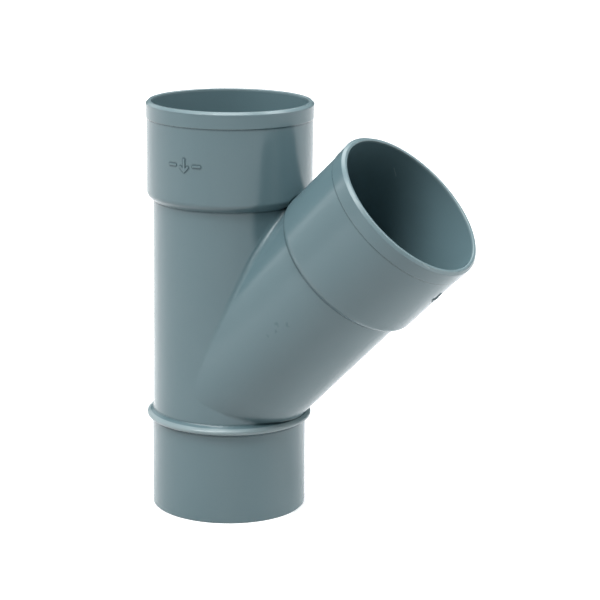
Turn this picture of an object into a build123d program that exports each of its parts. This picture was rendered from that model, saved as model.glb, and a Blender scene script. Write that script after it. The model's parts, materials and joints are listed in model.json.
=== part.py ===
from build123d import *
from math import cos, radians, sin, tan
import os

os.makedirs("parts", exist_ok=True)

# A lateral wye for plain-ended drain pipe, moulded in one piece: a run tube with a
# spigot at the foot and a socket at the head, and a branch with a socket of its own.
# The origin is the centre of the spigot's end face. +Z runs up the run axis and the
# branch leans towards +X. Lengths are in millimetres and angles in degrees.

# The pipe that the fitting joins
pipe_od = 75.0
wall = 3.0              # of the spigot
socket_clearance = 0.1  # radial, between a pipe and the socket round it

# Places along the two axes
axes_height = 61.5      # from the spigot's end up to the crossing of the axes
branch_angle = 45.0     # between the run axis and the branch axis
run_reach = 138.4       # from the crossing to the run's rim
branch_reach = 139.4    # from the crossing to the branch's rim

# Spigot and the bead that stops it
spigot_length = 44.0    # from the end face to the underside of the bead
spigot_chamfer = 0.7    # outer edge of the end face
bead_rise = 2.75        # of the bead's crest above the spigot
bead_crest = 1.2        # radius of the crest
bead_slope = 35.0       # of the bead's upper side, from square to the axis
bead_undercut = 25.0    # of the bead's lower side, from square to the axis
bead_root = 1.0         # radius of the hollow where the upper side meets the run tube
root_grip = 15.0        # angle at which that hollow runs into the tube

# Plain tubes between the bead and the sockets
tube_wall = 2.55        # of the run tube at its foot
tube_draft = 0.3        # radial, what the run tube loses from the bead to the socket
branch_relief = 0.15    # radial, by which the branch tube is slimmer than the run tube
crease_radius = 3.2     # fillet along the seam of the two tubes

# Sockets, the same on the run and on the branch
socket_length = 47.7    # outside, from the foot of the shoulder to the rim
socket_depth = 45.0     # inside, from the rim to the pipe stop
socket_wall = 2.3
shoulder_slope = 40.0   # of the shoulder, from square to the axis
shoulder_round = 3.6    # radius between the shoulder and the barrel of the socket
band_height = 7.8       # raised band round the mouth
band_rise = 0.35        # of the band above the socket
rim_chamfer = 1.2       # outer edge of the mouth
mouth_chamfer = 0.3     # inner edge of the mouth

# Radii and places that follow from the sizes above
spigot_r = pipe_od / 2
bore_r = spigot_r - wall
socket_bore_r = spigot_r + socket_clearance
socket_r = socket_bore_r + socket_wall
band_r = socket_r + band_rise
tube_foot_r = bore_r + tube_wall
tube_head_r = tube_foot_r - tube_draft
bead_r = spigot_r + bead_rise
foot = spigot_length - axes_height

# Each axis has a plane at the crossing whose local z runs out towards the rim.
# Their x directions keep the seams of the round faces away from the crease.
crossing = Vector(0, 0, axes_height)
tilt = radians(branch_angle)
run_plane = Plane(origin=crossing, x_dir=(-1, 0, 0), z_dir=(0, 0, 1))
branch_plane = Plane(origin=crossing, x_dir=(-cos(tilt), 0, sin(tilt)), z_dir=(sin(tilt), 0, cos(tilt)))

# What the arms' revolved forms start and end at, along each axis. The run tube starts
# inside the spigot, just above its chamfer.
tube_places = ((run_plane, run_reach, spigot_chamfer - axes_height, 0),
               (branch_plane, branch_reach, 0, branch_relief))
socket_places = ((run_plane, run_reach), (branch_plane, branch_reach))
hollow_places = ((run_plane, run_reach, -axes_height), (branch_plane, branch_reach, 0))


def section_plane(axis_plane):
    """Plane whose local x is the radius and whose local y is the distance along the axis."""
    return Plane(origin=axis_plane.origin, x_dir=axis_plane.x_dir, z_dir=-axis_plane.y_dir)


def round_axis(axis_plane):
    """Axis that the half sections of one arm are revolved about."""
    return Axis(axis_plane.origin, axis_plane.z_dir)


def tube_section(start, reach, relief):
    """Solid tube with an even draft, from its start to the rim, where the socket's bore clears it."""
    draft = tube_draft / (run_reach - socket_length - foot)
    start_r = tube_foot_r - relief - draft * (start - foot)
    reach_r = tube_foot_r - relief - draft * (reach - foot)
    Polyline((0, start), (start_r, start), (reach_r, reach), (0, reach), (0, start))


def on_circle(centre, radius, degrees):
    """Point of a circle in the section, by its angle from straight out, away from the axis."""
    return (centre[0] + radius * cos(radians(degrees)), centre[1] + radius * sin(radians(degrees)))


def spigot_section():
    """Solid spigot with its chamfered end and, at its head, the bead: round crest and hollow root."""
    end = -axes_height
    lower = bead_undercut - 90
    upper = 90 - bead_slope
    crest_r = bead_r - bead_crest
    low_r = on_circle((crest_r, 0), bead_crest, lower)[0]
    low = foot + (low_r - spigot_r) * tan(radians(bead_undercut))
    crest = (crest_r, low + bead_crest * cos(radians(bead_undercut)))
    high_r, high = on_circle(crest, bead_crest, upper)
    root_r = tube_foot_r + bead_root * cos(radians(root_grip))
    flank_r = root_r - bead_root * sin(radians(bead_slope))
    flank = high + (high_r - flank_r) * tan(radians(bead_slope))
    root = (root_r, flank + bead_root * cos(radians(bead_slope)))

    # the hollow runs on into the tube, so that the two cross cleanly
    inside_angle = root_grip / 2
    inside = on_circle(root, -bead_root, inside_angle)
    Polyline((0, end), (spigot_r - spigot_chamfer, end), (spigot_r, end + spigot_chamfer),
             (spigot_r, foot), (low_r, low))
    ThreePointArc((low_r, low), on_circle(crest, bead_crest, 0), (high_r, high))
    Line((high_r, high), (flank_r, flank))
    ThreePointArc((flank_r, flank), on_circle(root, -bead_root, (upper + inside_angle) / 2), inside)
    Polyline(inside, (0, inside[1]), (0, end))


def socket_section(reach):
    """Solid socket: sloping shoulder, barrel, raised band and chamfered rim."""
    rise = tan(radians(shoulder_slope))
    shoulder = reach - socket_length
    root = shoulder - (tube_head_r - bore_r) * rise
    corner = shoulder + (socket_r - tube_head_r) * rise
    band = reach - band_height
    FilletPolyline((bore_r, root), (socket_r, corner), (socket_r, band - band_rise), radius=shoulder_round)
    Polyline((socket_r, band - band_rise), (band_r, band), (band_r, reach - rim_chamfer),
             (band_r - rim_chamfer, reach), (0, reach), (0, root), (bore_r, root))


def hollow_section(reach, start):
    """Pipe bore from its start to the pipe stop, then the socket's bore and its mouth."""
    stop = reach - socket_depth
    Polyline((0, start), (bore_r, start), (bore_r, stop), (socket_bore_r, stop),
             (socket_bore_r, reach - mouth_chamfer), (socket_bore_r + mouth_chamfer, reach),
             (0, reach), (0, start))


with BuildPart() as wye_body:
    # run tube and branch tube, with their crease rounded while it is one closed loop
    for axis_plane, reach, start, relief in tube_places:
        with BuildSketch(section_plane(axis_plane)):
            with BuildLine():
                tube_section(start, reach, relief)
            make_face()
        revolve(axis=round_axis(axis_plane))
    fillet(wye_body.edges(Select.NEW).filter_by(GeomType.BSPLINE), crease_radius)

    # spigot and its bead
    with BuildSketch(section_plane(run_plane)):
        with BuildLine():
            spigot_section()
        make_face()
    revolve(axis=round_axis(run_plane))

    # sockets, which meet between their shoulders and share the wall there
    for axis_plane, reach in socket_places:
        with BuildSketch(section_plane(axis_plane)):
            with BuildLine():
                socket_section(reach)
            make_face()
        revolve(axis=round_axis(axis_plane))

    # hollows: the run is open from end to end and the branch opens into it
    for axis_plane, reach, start in hollow_places:
        with BuildSketch(section_plane(axis_plane)):
            with BuildLine():
                hollow_section(reach, start)
            make_face()
        revolve(axis=round_axis(axis_plane), mode=Mode.SUBTRACT)

wye_body.part.label = "wye_body"
export_step(wye_body.part, "parts/wye_body.step")
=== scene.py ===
import json
import math
from collections import namedtuple

import bmesh
import bpy
from bpy.props import FloatProperty, FloatVectorProperty, IntProperty, PointerProperty
from bpy.types import Operator, Panel, PropertyGroup
from mathutils import Matrix, Vector
from mathutils.bvhtree import BVHTree


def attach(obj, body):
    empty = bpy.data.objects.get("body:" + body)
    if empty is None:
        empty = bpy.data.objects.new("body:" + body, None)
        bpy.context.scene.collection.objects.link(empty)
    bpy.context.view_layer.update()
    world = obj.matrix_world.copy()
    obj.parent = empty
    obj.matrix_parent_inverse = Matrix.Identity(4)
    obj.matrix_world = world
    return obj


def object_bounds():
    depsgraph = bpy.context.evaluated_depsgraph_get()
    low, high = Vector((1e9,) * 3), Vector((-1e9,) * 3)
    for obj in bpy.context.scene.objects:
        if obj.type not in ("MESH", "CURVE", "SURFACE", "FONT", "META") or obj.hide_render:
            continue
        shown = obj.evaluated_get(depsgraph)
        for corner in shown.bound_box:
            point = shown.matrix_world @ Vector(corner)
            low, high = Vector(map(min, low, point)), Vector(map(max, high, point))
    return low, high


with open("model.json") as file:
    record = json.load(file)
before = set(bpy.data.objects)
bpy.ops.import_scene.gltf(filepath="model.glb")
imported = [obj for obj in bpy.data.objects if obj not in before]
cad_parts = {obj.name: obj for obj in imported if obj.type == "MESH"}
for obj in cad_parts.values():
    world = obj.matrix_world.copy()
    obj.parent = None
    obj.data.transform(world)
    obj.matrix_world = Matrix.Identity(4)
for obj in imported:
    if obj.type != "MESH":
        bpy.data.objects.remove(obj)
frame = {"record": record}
cad_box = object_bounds()

bl_info = {
    "name": "Lateral Wye Fitting",
    "version": (1, 0, 0),
    "blender": (4, 5, 0),
    "location": "View3D > Sidebar > Wye Fitting",
    "description": "Finish, moulded flow arrows and studio for a grey plastic drain wye",
    "category": "Object",
}

BODY = "root"
NODE = "wye_body"


def mount(name):
    """Place and direction of one of the record's mounts."""
    for entry in frame["record"]["mounts"]:
        if entry["name"] == name:
            return Vector(entry["pos_m"]), Vector(entry["axis"]).normalized()
    raise RuntimeError("the record has no mount " + name)


BRANCH_PLACE, BRANCH_AXIS = mount("branch_socket")
RUN_AXIS = mount("run_socket")[1]
# The run axis is the Z axis, so the axes cross where the branch axis comes back to x = 0.
CROSSING = BRANCH_PLACE - BRANCH_AXIS * (BRANCH_PLACE.x / BRANCH_AXIS.x)


class PlasticSettings(PropertyGroup):
    """Colour and surface of the moulded plastic"""
    colour: FloatVectorProperty(
        name="Colour", description="Main colour of the plastic",
        default=(0.150, 0.228, 0.252), size=3, min=0, max=1, subtype="COLOR")
    pale_colour: FloatVectorProperty(
        name="Pale Colour", description="Where the pigment is thinner",
        default=(0.155, 0.233, 0.257), size=3, min=0, max=1, subtype="COLOR")
    # this pale colour is real wear on the edges and scratches, and also the painted highlight on
    # the bead's crest and both lips
    worn_and_highlight_colour: FloatVectorProperty(
        name="Worn And Highlight Colour", description="Edges that handling has paled",
        default=(0.34, 0.42, 0.44), size=3, min=0, max=1, subtype="COLOR")
    smudge_colour: FloatVectorProperty(
        name="Smudge Colour", description="Faint handling marks",
        default=(0.112, 0.186, 0.208), size=3, min=0, max=1, subtype="COLOR")
    # painted crease shade: the darker colour mixed into tight corners stands in for shade there
    painted_crease_shade_colour: FloatVectorProperty(
        name="Painted Crease Shade Colour", description="Dust that has settled in the tight corners",
        default=(0.030, 0.066, 0.076), size=3, min=0, max=1, subtype="COLOR")
    # reach of the painted crease shade, and of the openness that tells outward edges
    crease_width: FloatProperty(
        name="Crease Width", description="How far the dust reaches out of a tight corner",
        default=0.0010, min=0, max=0.01, precision=4, unit="LENGTH")
    roughness: FloatProperty(
        name="Roughness", description="Mean roughness of the satin surface",
        default=0.24, min=0, max=1, subtype="FACTOR")
    grain: FloatProperty(
        name="Grain Height", description="Depth of the fine grain left by the mould",
        default=0.0000006, min=0, max=0.001, precision=7, unit="LENGTH")
    edge_width: FloatProperty(
        name="Edge Width", description="Width of the rounded, paler edges",
        default=0.0006, min=0, max=0.005, precision=5, unit="LENGTH")
    bead_edge_width: FloatProperty(
        name="Bead Edge Width", description="Width of the rounding over the crest of the bead",
        default=0.0013, min=0, max=0.005, precision=5, unit="LENGTH")
    mark_edge_width: FloatProperty(
        name="Mark Edge Width", description="Width of the rounded edges of the raised marks",
        default=0.0003, min=0, max=0.005, precision=5, unit="LENGTH")


class ArrowSettings(PropertyGroup):
    """Raised flow arrows on the two sockets"""
    length: FloatProperty(
        name="Length", description="Length of an arrow along its socket",
        default=0.0069, min=0.001, max=0.05, precision=4, unit="LENGTH")
    spread: FloatProperty(
        name="Spread", description="Half the width of an arrow's head",
        default=0.0027, min=0.001, max=0.02, precision=4, unit="LENGTH")
    stroke: FloatProperty(
        name="Stroke", description="Width of an arrow's strokes",
        default=0.0011, min=0.0002, max=0.01, precision=4, unit="LENGTH")
    rise: FloatProperty(
        name="Rise", description="Height of an arrow above its socket",
        default=0.0004, min=0.0001, max=0.002, precision=5, unit="LENGTH")
    bar: FloatProperty(
        name="Bar", description="Length of the plain bar on each side of an arrow",
        default=0.0044, min=0.001, max=0.02, precision=4, unit="LENGTH")
    run_reach: FloatProperty(
        name="Run Reach", description="From the axes' crossing to the middle of the run's arrow",
        default=0.1125, min=0, max=0.3, precision=4, unit="LENGTH")
    branch_reach: FloatProperty(
        name="Branch Reach",
        description="From the axes' crossing to the middle of the branch's arrow",
        default=0.1195, min=0, max=0.3, precision=4, unit="LENGTH")


class StageSettings(PropertyGroup):
    """Camera, floor and lights"""
    azimuth: FloatProperty(
        name="Azimuth", description="Direction of the camera round the fitting",
        default=math.radians(30.516), subtype="ANGLE", unit="ROTATION")
    elevation: FloatProperty(
        name="Elevation", description="Angle of the camera above the horizon",
        default=math.radians(13.619), subtype="ANGLE", unit="ROTATION")
    roll: FloatProperty(
        name="Roll", description="Turn of the camera about its own line of sight",
        default=math.radians(0.62), subtype="ANGLE", unit="ROTATION")
    distance: FloatProperty(
        name="Distance",
        description="From the camera to the axes' crossing, along the line of sight",
        default=1.10063, min=0.1, max=10, precision=4, unit="LENGTH")
    lens: FloatProperty(
        name="Lens", description="Focal length on a 36 mm sensor, in millimetres",
        default=134.485, min=10, max=500)
    across: FloatProperty(
        name="Across", description="Place of the axes' crossing, from the left edge of the picture",
        default=0.38215, min=0, max=1, precision=4, subtype="FACTOR")
    down: FloatProperty(
        name="Down", description="Place of the axes' crossing, from the top edge of the picture",
        default=0.63287, min=0, max=1, precision=4, subtype="FACTOR")
    floor_colour: FloatVectorProperty(
        name="Floor Colour", description="Pale floor that the fitting stands on",
        default=(0.86, 0.87, 0.88), size=3, min=0, max=1, subtype="COLOR")
    floor_glow: FloatProperty(
        name="Floor Glow", description="Light that comes up through the pale floor",
        default=0.35, min=0, max=5)
    floor_radius: FloatProperty(
        name="Floor Radius", description="Radius of the floor",
        default=8.0, min=1, max=50, unit="LENGTH")
    sky: FloatProperty(
        name="Surroundings", description="Brightness of the white surroundings beyond the floor",
        default=1.0, min=0, max=5)
    brightness: FloatProperty(
        name="Brightness", description="Factor on the power of every soft light",
        default=1.0, min=0, max=10)
    light_distance: FloatProperty(
        name="Light Distance", description="From the fitting to each soft light",
        default=4.0, min=1, max=20, unit="LENGTH")
    floor_sides: IntProperty(
        name="Floor Sides", description="Number of sides of the floor's edge",
        default=96, min=8, max=512)


# Sockets of a Mix node for its two values and its result, by the kind of data
MIX_SOCKETS = {"RGBA": (6, 7, 2), "VECTOR": (4, 5, 1)}

# Vector operations whose result is a plain number
NUMBER_OPERATIONS = {"DISTANCE", "DOT_PRODUCT", "LENGTH"}


class Nodes:
    """Adds shader nodes to one material, and joins them."""

    def __init__(self, name):
        self.material = bpy.data.materials.new(name)
        self.material.use_nodes = True
        self.tree = self.material.node_tree
        self.tree.nodes.clear()

    def fill(self, socket, value):
        """Joins a socket to the value, or sets it where the value is a number or a vector."""
        if isinstance(value, bpy.types.NodeSocket):
            self.tree.links.new(value, socket)
        else:
            socket.default_value = value

    def add(self, kind, label, inputs=None, **values):
        """Adds a node of the kind, with its settings and its inputs."""
        node = self.tree.nodes.new(kind)
        node.label = label
        for key, value in values.items():
            setattr(node, key, value)
        for key, value in (inputs or {}).items():
            self.fill(node.inputs[key], value)
        return node

    def math(self, label, operation, first, second=0.0, clamp=False):
        """Result of a sum with one or two numbers."""
        node = self.add("ShaderNodeMath", label, {0: first, 1: second},
                        operation=operation, use_clamp=clamp)
        return node.outputs[0]

    def vector(self, label, operation, first, second=(0.0, 0.0, 0.0)):
        """Result of a sum with one or two vectors: a number or a vector."""
        node = self.add("ShaderNodeVectorMath", label, {0: first, 1: second}, operation=operation)
        return node.outputs["Value" if operation in NUMBER_OPERATIONS else "Vector"]

    def noise(self, label, place, scale, detail=1.0):
        """Noise over the surface, with so many repeats to the metre."""
        node = self.add("ShaderNodeTexNoise", label,
                        {"Vector": place, "Scale": scale, "Detail": detail})
        return node.outputs["Fac"]

    def span(self, label, value, low, high, to_low=0.0, to_high=1.0):
        """Soft step of a value: from to_low where it is low, to to_high where it is high."""
        node = self.add("ShaderNodeMapRange", label,
                        {"Value": value, "From Min": low, "From Max": high,
                         "To Min": to_low, "To Max": to_high},
                        interpolation_type="SMOOTHSTEP")
        return node.outputs["Result"]

    def mix(self, label, share, first, second, kind="RGBA"):
        """Mix of two colours or two vectors. The share is that of the second."""
        node = self.add("ShaderNodeMix", label, {0: share}, data_type=kind)
        first_socket, second_socket, result = MIX_SOCKETS[kind]
        for index, value in ((first_socket, first), (second_socket, second)):
            if kind == "RGBA" and not isinstance(value, bpy.types.NodeSocket):
                value = (*value, 1.0)
            self.fill(node.inputs[index], value)
        return node.outputs[result]

    def finish(self, shader):
        """Joins the shader to the material's surface, and gives the material."""
        output = self.add("ShaderNodeOutputMaterial", "Surface")
        self.tree.links.new(shader.outputs["BSDF"], output.inputs["Surface"])
        return self.material


# Patterns of the plastic, in repeats to the metre
CLOUD_SCALE = 34.0
SPECKLE_SCALE = 900.0
SMUDGE_SCALE = 420.0
RUBBING_SCALE = 240.0
SATIN_SCALE = 60.0
GRAIN_SCALE = 1300.0
RIPPLE_SCALE = 40.0

# Values of the noise between which each pattern goes from its least to its most
CLOUDS = (0.30, 0.72)
SPECKLES = (0.35, 0.70)
SMUDGE_BREAKS = (0.46, 0.60)
RUBBING = (0.35, 0.65)
SATIN = (0.30, 0.70)

# How strongly each one shows, from 0 to 1
CLOUD_SHARE = 0.60
SPECKLE_SHARE = 0.15
SMUDGE_SHARE = 0.8
WEAR_SHARE = 0.5
LEAST_RUBBING, MOST_RUBBING = 0.25, 0.75
SCRATCH_SHARE = 0.45
# how strongly the painted crease shade shows on the body and on the raised marks
BODY_CREASE_SHADE = 0.9
MARK_CREASE_SHADE = 0.2

# Changes of the roughness
SATIN_SWING = 0.015
SMUDGE_DULLNESS = 0.02
WEAR_POLISH = 0.08

RIPPLE_HEIGHT = 40.0     # of the wall's ripple, in heights of the grain
CORNER_SAMPLES = 8       # rays that look for tight corners, and for edges to round
PLASTIC_IOR = 1.54

# Openness of the surface, 1 where nothing is near it. Painted shade darkens tight corners from the
# first value of the crease pair below down to the second, and edges count as outward from the first
# of OUTWARD to the second.
CREASE_SHADE_OPENNESS = (0.95, 0.83)
OUTWARD = (0.90, 0.98)
EDGE_TURN = (0.995, 0.90)    # cosine of an edge's turn, where rubbing begins and is full

# Share of its radius within which a smudge or a scratch is at its full strength
SMUDGE_CORE = 0.3
SCRATCH_CORE = 0.2

# Faint handling marks, as places on the surface and radii in metres
SMUDGES = (
    ((0.0488, -0.0365, 0.1039), 0.0019),
    ((0.0488, -0.0368, 0.1003), 0.0021),
    ((0.0433, -0.0366, 0.0970), 0.0022),
    ((0.0546, -0.0355, 0.1045), 0.0019),
)

# Short pale lines, one inside the branch's mouth and one, a scratch, across its lip: from, to and
# half width
SCRATCHES = (
    ((0.07397, 0.02845, 0.17019), (0.07391, 0.03073, 0.16599), 0.0004),
    ((0.1190, -0.0262, 0.1396), (0.1207, -0.0235, 0.1372), 0.0005),
)

# Rings with a painted highlight all round: from and to along an axis from the axes' crossing, the
# radius that they start at, in metres, and how much paler the painted highlight makes them
Ring = namedtuple("Ring", "name axis low high reach share")
RUN_LIP = Ring("Run lip", RUN_AXIS, 0.1370, 0.1400, 0.0370, 0.32)
BRANCH_LIP = Ring("Branch lip", BRANCH_AXIS, 0.1380, 0.1410, 0.0370, 0.30)
BEAD_CREST = Ring("Bead crest", RUN_AXIS, -0.0170, -0.0125, 0.0384, 0.72)
RING_FADE = 0.0004


def spot(nodes, label, place, centre, radius):
    """Soft round patch about a point: one at its middle, nothing beyond its radius."""
    gap = nodes.vector(label, "DISTANCE", place, centre)
    return nodes.span(label + " edge", gap, radius, radius * SMUDGE_CORE)


def streak(nodes, label, place, start, end, radius):
    """Thin line between two points: one along its middle, nothing beyond its radius."""
    way = Vector(end) - Vector(start)
    gap = nodes.vector(label + " offset", "SUBTRACT", place, start)
    along = nodes.vector(label + " along", "DOT_PRODUCT", gap, tuple(way / way.length_squared))
    before_end = nodes.math(label + " before end", "MINIMUM", along, 1.0)
    share = nodes.math(label + " share", "MAXIMUM", before_end, 0.0)
    foot = nodes.add("ShaderNodeVectorMath", label + " foot", {0: tuple(way), "Scale": share},
                     operation="SCALE").outputs["Vector"]
    away = nodes.vector(label + " away", "DISTANCE", gap, foot)
    return nodes.span(label + " edge", away, radius, radius * SCRATCH_CORE)


def ring_band(nodes, place, ring):
    """Band round an axis of the fitting: one on it, nothing beside it."""
    name, axis = ring.name, tuple(ring.axis)
    gap = nodes.vector(name + " offset", "SUBTRACT", place, tuple(CROSSING))
    along = nodes.vector(name + " along", "DOT_PRODUCT", gap, axis)
    sideways = nodes.vector(name + " sideways", "CROSS_PRODUCT", gap, axis)
    radius = nodes.vector(name + " radius", "LENGTH", sideways)
    foot = nodes.span(name + " foot", along, ring.low, ring.low + RING_FADE)
    head = nodes.span(name + " head", along, ring.high + RING_FADE, ring.high)
    side = nodes.span(name + " side", radius, ring.reach, ring.reach + RING_FADE)
    band = nodes.math(name, "MULTIPLY", foot, head)
    return nodes.math(name + " crest", "MULTIPLY", band, side)


def pigment(nodes, place, settings):
    """Colour of the clean plastic: slow clouds of pigment and a fine speckle."""
    clouds = nodes.noise("Pigment clouds", place, CLOUD_SCALE)
    speckle = nodes.noise("Pigment speckle", place, SPECKLE_SCALE)
    cloud_share = nodes.span("Cloud contrast", clouds, *CLOUDS, 0.0, CLOUD_SHARE)
    speckle_share = nodes.span("Speckle contrast", speckle, *SPECKLES, 0.0, SPECKLE_SHARE)
    share = nodes.math("Pigment", "ADD", cloud_share, speckle_share, clamp=True)
    return nodes.mix("Pigment colour", share, settings.colour, settings.pale_colour)


def smudges(nodes, place):
    """Share of the faint smudges, broken up so that they have no outline."""
    texture = nodes.noise("Smudge texture", place, SMUDGE_SCALE, detail=2.0)
    broken = nodes.span("Smudge breaks", texture, *SMUDGE_BREAKS)
    patches = 0.0
    for number, (centre, radius) in enumerate(SMUDGES, 1):
        patch = spot(nodes, "Smudge " + str(number), place, centre, radius)
        patches = nodes.math("Smudges", "MAXIMUM", patch, patches)
    smudge = nodes.math("Broken smudge", "MULTIPLY", patches, broken)
    return nodes.math("Smudge strength", "MULTIPLY", smudge, SMUDGE_SHARE)


def plastic_material(name, settings, edge_width, crest_width, crease_shade):
    """Satin grey moulded plastic with fine grain, faint clouds of pigment and paler edges."""
    nodes = Nodes(name)
    place = nodes.add("ShaderNodeTexCoord", "Surface point").outputs["Object"]
    colour = pigment(nodes, place, settings)
    smudge = smudges(nodes, place)
    colour = nodes.mix("Smudged colour", smudge, colour, settings.smudge_colour)

    # tight corners, darkened with painted shade where the surface is closed in
    openness = nodes.add("ShaderNodeAmbientOcclusion", "Openness",
                         {"Distance": settings.crease_width}, samples=CORNER_SAMPLES).outputs["AO"]
    crease = nodes.span("Crease", openness, *CREASE_SHADE_OPENNESS, 0.0, crease_shade)
    colour = nodes.mix("Painted crease shade colour", crease, colour, settings.painted_crease_shade_colour)

    # outward edges, which are rounded, and where handling has paled and polished the plastic
    bead = ring_band(nodes, place, BEAD_CREST)
    width = nodes.span("Rounding", bead, 0.0, 1.0, edge_width, crest_width)
    rounded = nodes.add("ShaderNodeBevel", "Rounded edges", {"Radius": width},
                        samples=CORNER_SAMPLES).outputs["Normal"]
    plain = nodes.add("ShaderNodeNewGeometry", "Plain surface").outputs["Normal"]
    outward = nodes.span("Outward edges", openness, *OUTWARD)
    normal = nodes.mix("Rounded outward edges only", outward, plain, rounded, "VECTOR")
    edge = nodes.span("Edge", nodes.vector("Edge turn", "DOT_PRODUCT", rounded, plain), *EDGE_TURN)
    rubbing = nodes.noise("Rubbing", place, RUBBING_SCALE, detail=3.0)
    uneven = nodes.span("Edge rubbing", rubbing, *RUBBING, LEAST_RUBBING, MOST_RUBBING)
    rubbed = nodes.math("Outward rubbing", "MULTIPLY", edge, uneven)
    worn = nodes.math("Worn edge", "MULTIPLY", rubbed, outward)
    colour = nodes.mix("Worn colour", nodes.math("Wear share", "MULTIPLY", worn, WEAR_SHARE),
                       colour, settings.worn_and_highlight_colour)

    # painted highlight: the bead's crest and the lips of both mouths are made paler all round
    rings = [(bead, BEAD_CREST)]
    rings += [(ring_band(nodes, place, lip), lip) for lip in (RUN_LIP, BRANCH_LIP)]
    for band, ring in rings:
        share = nodes.math(ring.name + " share", "MULTIPLY", band, ring.share)
        colour = nodes.mix(ring.name + " colour", share, colour, settings.worn_and_highlight_colour)

    # the short pale lines
    for number, (start, end, radius) in enumerate(SCRATCHES, 1):
        line = streak(nodes, "Scratch " + str(number), place, start, end, radius)
        share = nodes.math("Scratch share", "MULTIPLY", line, SCRATCH_SHARE)
        colour = nodes.mix("Scratched colour", share, colour, settings.worn_and_highlight_colour)

    # roughness: uneven satin, duller in the smudges and glossier on the rubbed edges
    satin = nodes.span("Satin patches", nodes.noise("Satin", place, SATIN_SCALE), *SATIN,
                       settings.roughness - SATIN_SWING, settings.roughness + SATIN_SWING)
    dullness = nodes.math("Dullness", "MULTIPLY", smudge, SMUDGE_DULLNESS)
    polish = nodes.math("Polish", "MULTIPLY", worn, WEAR_POLISH)
    dull = nodes.math("Duller smudges", "ADD", satin, dullness)
    rough = nodes.math("Polished edges", "SUBTRACT", dull, polish, clamp=True)

    # relief: mould grain and a slow unevenness of the wall
    ripple = nodes.math("Ripple height", "MULTIPLY",
                        nodes.noise("Wall ripple", place, RIPPLE_SCALE), RIPPLE_HEIGHT)
    relief = nodes.math("Grain and ripple", "ADD",
                        nodes.noise("Mould grain", place, GRAIN_SCALE), ripple)
    bump = nodes.add("ShaderNodeBump", "Relief of the surface",
                     {"Strength": 1.0, "Distance": settings.grain, "Height": relief,
                      "Normal": normal})

    shader = nodes.add("ShaderNodeBsdfPrincipled", "Moulded plastic",
                       {"Base Color": colour, "Roughness": rough,
                        "Normal": bump.outputs["Normal"],
                        "IOR": PLASTIC_IOR, "Specular IOR Level": 0.5})
    return nodes.finish(shader)


# Patterns of the floor, in repeats to the metre
FLOOR_PATCH_SCALE = 3.0
FLOOR_TOOTH_SCALE = 900.0

# Noise between which the darker patches of the floor appear, how strongly they show, and their
# brightness
FLOOR_PATCHES = (0.3, 0.7)
FLOOR_PATCH_SHARE = 0.5
FLOOR_SHADE = 0.985

FLOOR_TOOTH = 0.0001     # depth of the floor's tooth in metres
FLOOR_TOOTH_STRENGTH = 0.2
FLOOR_ROUGHNESS = 0.85
FLOOR_SPECULAR = 0.2


def floor_material(settings):
    """Pale matt floor with a faint unevenness and a little light that comes up through it."""
    nodes = Nodes("pale_floor")
    place = nodes.add("ShaderNodeTexCoord", "Floor point").outputs["Object"]
    unevenness = nodes.noise("Floor unevenness", place, FLOOR_PATCH_SCALE, detail=3.0)
    patches = nodes.span("Floor patches", unevenness, *FLOOR_PATCHES, 0.0, FLOOR_PATCH_SHARE)
    darker = tuple(value * FLOOR_SHADE for value in settings.floor_colour)
    colour = nodes.mix("Floor colour", patches, settings.floor_colour, darker)
    tooth = nodes.noise("Tooth", place, FLOOR_TOOTH_SCALE, detail=2.0)
    bump = nodes.add("ShaderNodeBump", "Paper tooth",
                     {"Strength": FLOOR_TOOTH_STRENGTH, "Distance": FLOOR_TOOTH,
                      "Height": tooth})
    shader = nodes.add("ShaderNodeBsdfPrincipled", "Floor",
                       {"Base Color": colour, "Roughness": FLOOR_ROUGHNESS,
                        "Specular IOR Level": FLOOR_SPECULAR,
                        "Normal": bump.outputs["Normal"],
                        "Emission Color": (1.0, 1.0, 1.0, 1.0),
                        "Emission Strength": settings.floor_glow})
    return nodes.finish(shader)


def add_object(name, mesh, material):
    """Puts a mesh into the scene as an object of its own."""
    piece = bpy.data.objects.new(name, mesh)
    mesh.materials.append(material)
    bpy.context.scene.collection.objects.link(piece)
    return piece


# Raised marks: how deep they start inside the wall, in metres, the gap between arrow and bar
# in strokes, the rounding of their corners in strokes and of their top edges in rises, the
# steps of each rounding, and the number of slices in which they bend round the socket
SINK = 0.00025
BAR_GAP = 1.5
CORNER_ROUND = 0.18
TOP_ROUND = 0.45
ROUND_STEPS = 3
SLICES = 24
SHARP_TURN = math.radians(50)


def arrow_outline(settings):
    """Corners of an arrow that points down its own y axis, in metres, in order round it."""
    half = settings.length / 2
    stem = settings.stroke / 2
    spread = settings.spread
    slant = settings.stroke * math.sqrt(2)
    cut = settings.stroke / math.sqrt(2)
    right = [(stem, half), (stem, slant + stem - half), (spread - cut, spread + cut - half),
             (spread, spread - half)]
    left = [(-x, y) for x, y in reversed(right)]
    return right + [(0.0, -half)] + left


def bar_outline(settings, side):
    """Corners of the plain bar beside the arrow, on the side given as 1 or -1."""
    near = settings.spread + settings.stroke * BAR_GAP
    far = near + settings.bar
    edge = settings.stroke / 2
    corners = [(near, -edge), (far, -edge), (far, edge), (near, edge)]
    return [(x * side, y) for x, y in corners]


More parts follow.
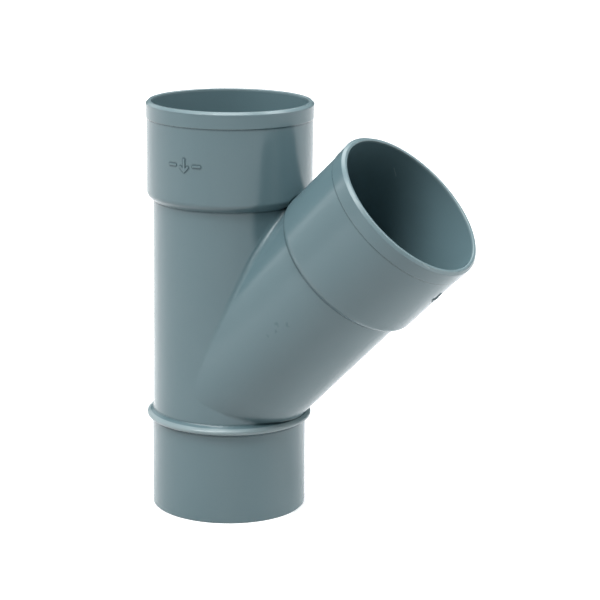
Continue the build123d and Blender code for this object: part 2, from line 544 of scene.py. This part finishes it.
def flat_mark(settings, outlines):
    """Flat raised mark that stands on z = 0, with rounded corners and rounded top edges."""
    made = bmesh.new()
    for outline in outlines:
        made.faces.new([made.verts.new((x, y, 0.0)) for x, y in outline])
    rounding = {"segments": ROUND_STEPS, "profile": 0.5}
    bmesh.ops.bevel(made, geom=list(made.verts), offset=settings.stroke * CORNER_ROUND,
                    affect="VERTICES", **rounding)
    grown = bmesh.ops.extrude_face_region(made, geom=list(made.faces))
    top = [item for item in grown["geom"] if isinstance(item, bmesh.types.BMVert)]
    bmesh.ops.translate(made, verts=top, vec=(0.0, 0.0, SINK + settings.rise))
    crest = [edge for edge in made.edges if all(vert.co.z > SINK for vert in edge.verts)]
    bmesh.ops.bevel(made, geom=crest, offset=settings.rise * TOP_ROUND, affect="EDGES", **rounding)
    return made


def slice_mark(settings, made):
    """Cuts across the mark at even steps of x, so that it can bend."""
    half_width = settings.spread + settings.stroke * BAR_GAP + settings.bar
    for step in range(1, SLICES):
        x = half_width * (2 * step / SLICES - 1)
        everything = list(made.verts) + list(made.edges) + list(made.faces)
        bmesh.ops.bisect_plane(made, geom=everything, plane_co=(x, 0, 0), plane_no=(1, 0, 0))
    bmesh.ops.recalc_face_normals(made, faces=list(made.faces))
    bmesh.ops.triangulate(made, faces=[face for face in made.faces if len(face.verts) > 4])


def wrap_mark(made, axis, outward, reach, radius):
    """Bends the mark round a socket, sunk a little so that it grows out of the wall.

    Its y runs along the axis and its x round it, so each point keeps its distance over the wall.
    """
    side = axis.cross(outward)
    for vert in made.verts:
        turn = vert.co.x / radius
        height = radius - SINK + vert.co.z
        vert.co = (CROSSING + axis * (reach + vert.co.y)
                   + (outward * math.cos(turn) + side * math.sin(turn)) * height)
    bmesh.ops.recalc_face_normals(made, faces=list(made.faces))


def arrow_mesh(name, settings, axis, outward, reach, bar_sides):
    """Raised arrow on a socket's wall, with plain bars beside it on the sides that are given."""
    outlines = [arrow_outline(settings)] + [bar_outline(settings, side) for side in bar_sides]
    made = flat_mark(settings, outlines)
    slice_mark(settings, made)
    wrap_mark(made, axis, outward, reach, wall_radius(axis, outward, reach))
    mesh = bpy.data.meshes.new(name)
    made.to_mesh(mesh)
    made.free()
    mesh.shade_smooth()
    mesh.set_sharp_from_angle(angle=SHARP_TURN)
    return mesh


OUTSIDE = 0.2            # metres from an axis, well outside the fitting


def wall_radius(axis, outward, reach):
    """Outside radius of the fitting's wall at a place along one of its axes."""
    body = bpy.data.objects[NODE]
    tree = BVHTree.FromObject(body, bpy.context.evaluated_depsgraph_get())
    foot = CROSSING + axis * reach
    hit = tree.ray_cast(foot + outward * OUTSIDE, -outward)[0]
    if hit is None:
        raise RuntimeError("no wall where the arrow should sit")
    return (hit - foot).length


class WYE_OT_body_finish(Operator):
    """Give the moulded body its satin grey plastic"""
    bl_idname = "wye.body_finish"
    bl_label = "Body Finish"
    bl_options = {"REGISTER", "UNDO"}

    def execute(self, context):
        settings = context.scene.wye_plastic
        body = bpy.data.objects.get(NODE)
        if body is None:
            raise RuntimeError("the frame has no " + NODE)
        for slot in body.material_slots:
            slot.material = plastic_material("grey_pvc_body", settings, settings.edge_width,
                                             settings.bead_edge_width, BODY_CREASE_SHADE)
        return {"FINISHED"}


class WYE_OT_flow_arrows(Operator):
    """Add the raised flow arrows on the run socket and on the branch socket"""
    bl_idname = "wye.flow_arrows"
    bl_label = "Flow Arrows"
    bl_options = {"REGISTER", "UNDO"}

    def execute(self, context):
        settings = context.scene.wye_arrows
        plastic = context.scene.wye_plastic
        edge_width = plastic.mark_edge_width
        material = plastic_material("grey_pvc_marks", plastic, edge_width, edge_width, MARK_CREASE_SHADE)
        front = Vector((0.0, -1.0, 0.0))
        below = Vector((BRANCH_AXIS.z, 0.0, -BRANCH_AXIS.x))
        arrows = (("run_flow_arrow", RUN_AXIS, front, settings.run_reach, (1, -1)),
                  ("branch_flow_arrow", BRANCH_AXIS, below, settings.branch_reach, ()))
        for name, axis, outward, reach, bar_sides in arrows:
            mesh = arrow_mesh(name, settings, axis, outward, reach, bar_sides)
            piece = add_object(name, mesh, material)
            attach(piece, BODY)
        return {"FINISHED"}


def aim(obj, place, target):
    """Puts an object at a place, turned so that its own -Z looks at the target."""
    obj.location = place
    obj.rotation_mode = "QUATERNION"
    obj.rotation_quaternion = (target - place).to_track_quat("-Z", "Y")


def direction(azimuth, elevation):
    """Unit vector from the fitting towards something round it, with the camera's angles."""
    level = math.cos(elevation)
    return Vector((math.sin(azimuth) * level, -math.cos(azimuth) * level, math.sin(elevation)))


# Soft lights: name, angle round from the camera and elevation in degrees, width and
# height in metres, and power in watts
LIGHTS = (
    ("key_light", -45, 55, 2.2, 2.2, 84.0),
    ("front_left_light", -30, 30, 2.2, 2.2, 30.0),
    ("high_front_light", 0, 75, 2.2, 2.2, 60.0),
    ("right_light", 90, 50, 2.2, 2.2, 66.0),
    ("right_low_light", 85, 14, 4.5, 2.4, 36.0),
    ("left_light", -90, 50, 2.2, 2.2, 11.0),
    ("left_low_light", -85, 14, 4.5, 2.4, 30.0),
    ("back_left_light", -130, 15, 3.5, 2.4, 22.0),
    ("back_light", 180, 55, 3.0, 2.4, 55.0),
    ("right_lower_light", 90, -30, 3.0, 2.2, 30.0),
    ("front_lower_light", 0, -30, 3.0, 2.2, 12.0),
    ("lower_light", 0, -88, 6.0, 6.0, 140.0),
)


def soft_light(name, azimuth, elevation, away, width, height, power):
    """Large area light that looks at the middle of the fitting."""
    target = (cad_box[0] + cad_box[1]) / 2
    data = bpy.data.lights.new(name, "AREA")
    data.shape = "RECTANGLE"
    data.size = width
    data.size_y = height
    data.energy = power
    lamp = bpy.data.objects.new(name, data)
    aim(lamp, target + direction(azimuth, elevation) * away, target)
    lamp.visible_camera = False
    bpy.context.scene.collection.objects.link(lamp)


SENSOR_WIDTH = 36.0          # millimetres
NEAREST, FARTHEST = 0.05, 50.0    # metres that the camera sees


def make_camera(settings):
    """Camera at the picture's angle, with the axes' crossing at its place in the picture."""
    back = direction(settings.azimuth, settings.elevation)
    level = Vector((math.cos(settings.azimuth), math.sin(settings.azimuth), 0.0))
    upright = back.cross(level)
    right = level * math.cos(settings.roll) + upright * math.sin(settings.roll)
    up = upright * math.cos(settings.roll) - level * math.sin(settings.roll)
    data = bpy.data.cameras.new("camera")
    data.sensor_width = SENSOR_WIDTH
    data.lens = settings.lens
    data.clip_start = NEAREST
    data.clip_end = FARTHEST
    view_width = settings.distance * SENSOR_WIDTH / settings.lens
    offset = (right * (settings.across - 0.5) + up * (0.5 - settings.down)) * view_width
    camera = bpy.data.objects.new("camera", data)
    place = CROSSING - offset + back * settings.distance
    turn = Matrix((right, up, back)).transposed().to_4x4()
    camera.matrix_world = Matrix.Translation(place) @ turn
    bpy.context.scene.collection.objects.link(camera)
    bpy.context.scene.camera = camera


def make_floor(settings):
    """Wide pale floor under the spigot."""
    made = bmesh.new()
    bmesh.ops.create_circle(made, cap_ends=True, segments=settings.floor_sides,
                            radius=settings.floor_radius)
    bmesh.ops.translate(made, verts=list(made.verts), vec=(0.0, 0.0, cad_box[0].z))
    mesh = bpy.data.meshes.new("floor")
    made.to_mesh(mesh)
    made.free()
    floor = add_object("floor", mesh, floor_material(settings))
    # what lights the fitting from below are the soft lights under the floor, not the floor
    floor.visible_diffuse = False
    floor.visible_shadow = False


SURROUNDINGS_COLOUR = (0.97, 0.985, 1.0, 1.0)


def make_surroundings(settings):
    """White surroundings that only the camera sees, because the soft lights do the lighting."""
    world = bpy.data.worlds.new("studio")
    bpy.context.scene.world = world
    world.use_nodes = True
    background = world.node_tree.nodes["Background"]
    background.inputs["Color"].default_value = SURROUNDINGS_COLOUR
    background.inputs["Strength"].default_value = settings.sky
    world.cycles_visibility.diffuse = False
    world.cycles_visibility.glossy = False


class WYE_OT_stage(Operator):
    """Add the camera, the pale floor and the soft lights"""
    bl_idname = "wye.stage"
    bl_label = "Stage"
    bl_options = {"REGISTER", "UNDO"}

    def execute(self, context):
        settings = context.scene.wye_stage
        make_camera(settings)
        make_floor(settings)
        make_surroundings(settings)
        for name, turn, elevation, width, height, power in LIGHTS:
            soft_light(name, settings.azimuth + math.radians(turn), math.radians(elevation),
                       settings.light_distance, width, height, power * settings.brightness)
        context.scene.view_settings.view_transform = "Standard"
        context.scene.view_settings.look = "Medium High Contrast"
        return {"FINISHED"}


class WYE_PT_fitting(Panel):
    """Sizes, colours and steps of the wye fitting"""
    bl_idname = "WYE_PT_fitting"
    bl_label = "Wye Fitting"
    bl_space_type = "VIEW_3D"
    bl_region_type = "UI"
    bl_category = "Wye Fitting"

    def draw(self, context):
        layout = self.layout
        scene = context.scene
        steps = ((scene.wye_plastic, WYE_OT_body_finish),
                 (scene.wye_arrows, WYE_OT_flow_arrows),
                 (scene.wye_stage, WYE_OT_stage))
        for settings, operator in steps:
            box = layout.box()
            box.label(text=operator.bl_label)
            for name in settings.bl_rna.properties.keys():
                if name not in {"rna_type", "name"}:
                    box.prop(settings, name)
            box.operator(operator.bl_idname)


GROUPS = (("wye_plastic", PlasticSettings), ("wye_arrows", ArrowSettings),
          ("wye_stage", StageSettings))
CLASSES = (WYE_OT_body_finish, WYE_OT_flow_arrows, WYE_OT_stage, WYE_PT_fitting)


def register():
    for name, group in GROUPS:
        bpy.utils.register_class(group)
        setattr(bpy.types.Scene, name, PointerProperty(type=group))
    for kind in CLASSES:
        bpy.utils.register_class(kind)


def unregister():
    for kind in reversed(CLASSES):
        bpy.utils.unregister_class(kind)
    for name, group in reversed(GROUPS):
        delattr(bpy.types.Scene, name)
        bpy.utils.unregister_class(group)


def main():
    """Finishes the body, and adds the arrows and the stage."""
    register()
    bpy.ops.wye.stage()
    bpy.ops.wye.body_finish()
    bpy.ops.wye.flow_arrows()
    bpy.context.view_layer.update()


if __name__ == "__main__":
    main()
